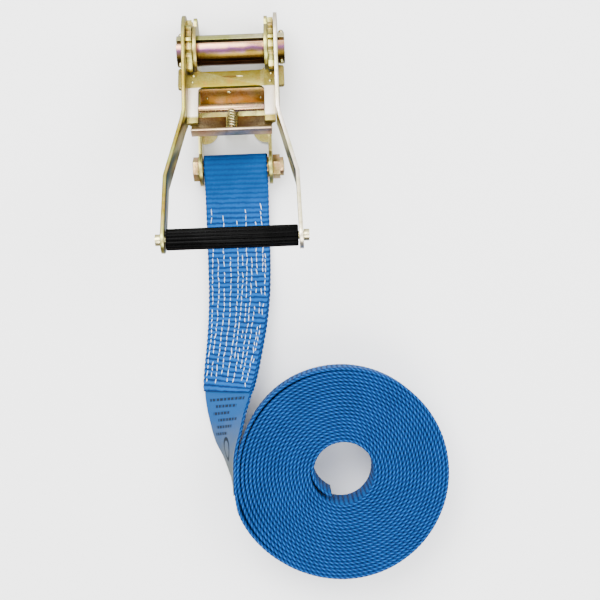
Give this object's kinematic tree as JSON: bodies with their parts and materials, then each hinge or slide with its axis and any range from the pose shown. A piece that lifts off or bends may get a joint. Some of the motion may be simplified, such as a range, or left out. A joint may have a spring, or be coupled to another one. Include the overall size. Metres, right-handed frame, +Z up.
{
  "type": "ratchet tie down",
  "caption": "Ratchet strap buckle with flared handle, slotted spindle, sprung pawls and a sewn webbing strap wound into a flat coil on edge.",
  "frame": {"origin": "centre of the whole object's box, on the surface that it lies on", "axes": "+X along the spindle, towards the nut's side; +Y from the coil towards the ratchet; +Z up"},
  "size_m": [0.2114, 0.4398, 0.1252],
  "materials": {
    "zinc_plate": "yellow zinc plating over pressed sheet steel, with faint rainbow patches",
    "zinc_pawl": "yellow zinc plating, khaki green to gold with pink patches",
    "zinc_spindle": "yellow zinc plating on turned steel, pink and purple patches",
    "zinc_fastener": "yellow zinc plated fasteners and bar",
    "spring_steel": "plated spring wire",
    "black_plastic": "black moulded plastic with long ribs",
    "blue_webbing": "blue woven polyester webbing with cross ribs and white stitching",
    "label_cloth": "light blue woven label"
  },
  "bodies": {
    "frame": {"base_frame": "zinc_plate", "clamp_bolt": "zinc_fastener", "lock_nut": "zinc_fastener", "spacer_sleeve": "zinc_fastener", "lock_spring": "spring_steel", "strap_sewn_loop": "blue_webbing", "strap_twist": "blue_webbing", "strap_coil": "blue_webbing", "strap_label": "label_cloth"},
    "spindle": {"spindle_upper_half": "zinc_spindle", "spindle_lower_half": "zinc_spindle", "ratchet_wheel_left": "zinc_plate", "ratchet_wheel_right": "zinc_plate", "split_pin_left": "spring_steel", "split_pin_right": "spring_steel"},
    "handle": {"handle_arm_left": "zinc_plate", "handle_arm_right": "zinc_plate", "handle_bridge": "zinc_plate", "spring_post": "zinc_fastener", "drive_spring": "spring_steel", "grip_rod": "zinc_fastener"},
    "grip": {"grip_tube": "black_plastic"},
    "drive_pawl": {"drive_pawl": "zinc_pawl", "pull_rod": "zinc_pawl"},
    "lock_pawl": {"lock_pawl": "zinc_pawl"}
  },
  "joints": [
    {"name": "handle_swing", "type": "hinge", "parent": "frame", "child": "handle", "pos_m": [-0.05065, 0.1924, 0.028], "axis": [-1, 0, 0], "range_deg": [-30, 150]},
    {"name": "spindle_spin", "type": "hinge", "parent": "frame", "child": "spindle", "pos_m": [-0.05065, 0.1924, 0.028], "axis": [-1, 0, 0], "continuous": true},
    {"name": "grip_spin", "type": "hinge", "parent": "handle", "child": "grip", "pos_m": [-0.05065, 0.04085, 0.1155], "axis": [1, 0, 0], "continuous": true},
    {"name": "drive_pawl_pull", "type": "slide", "parent": "handle", "child": "drive_pawl", "axis": [0, -0.866, 0.5], "range_m": [-0.003, 0.003], "stiffness_N_per_m": 1500, "deforming": ["drive_spring"]},
    {"name": "lock_pawl_pull", "type": "slide", "parent": "frame", "child": "lock_pawl", "axis": [0, -1, 0], "range_m": [-0.004, 0.003], "stiffness_N_per_m": 1500, "deforming": ["lock_spring"]}
  ]
}
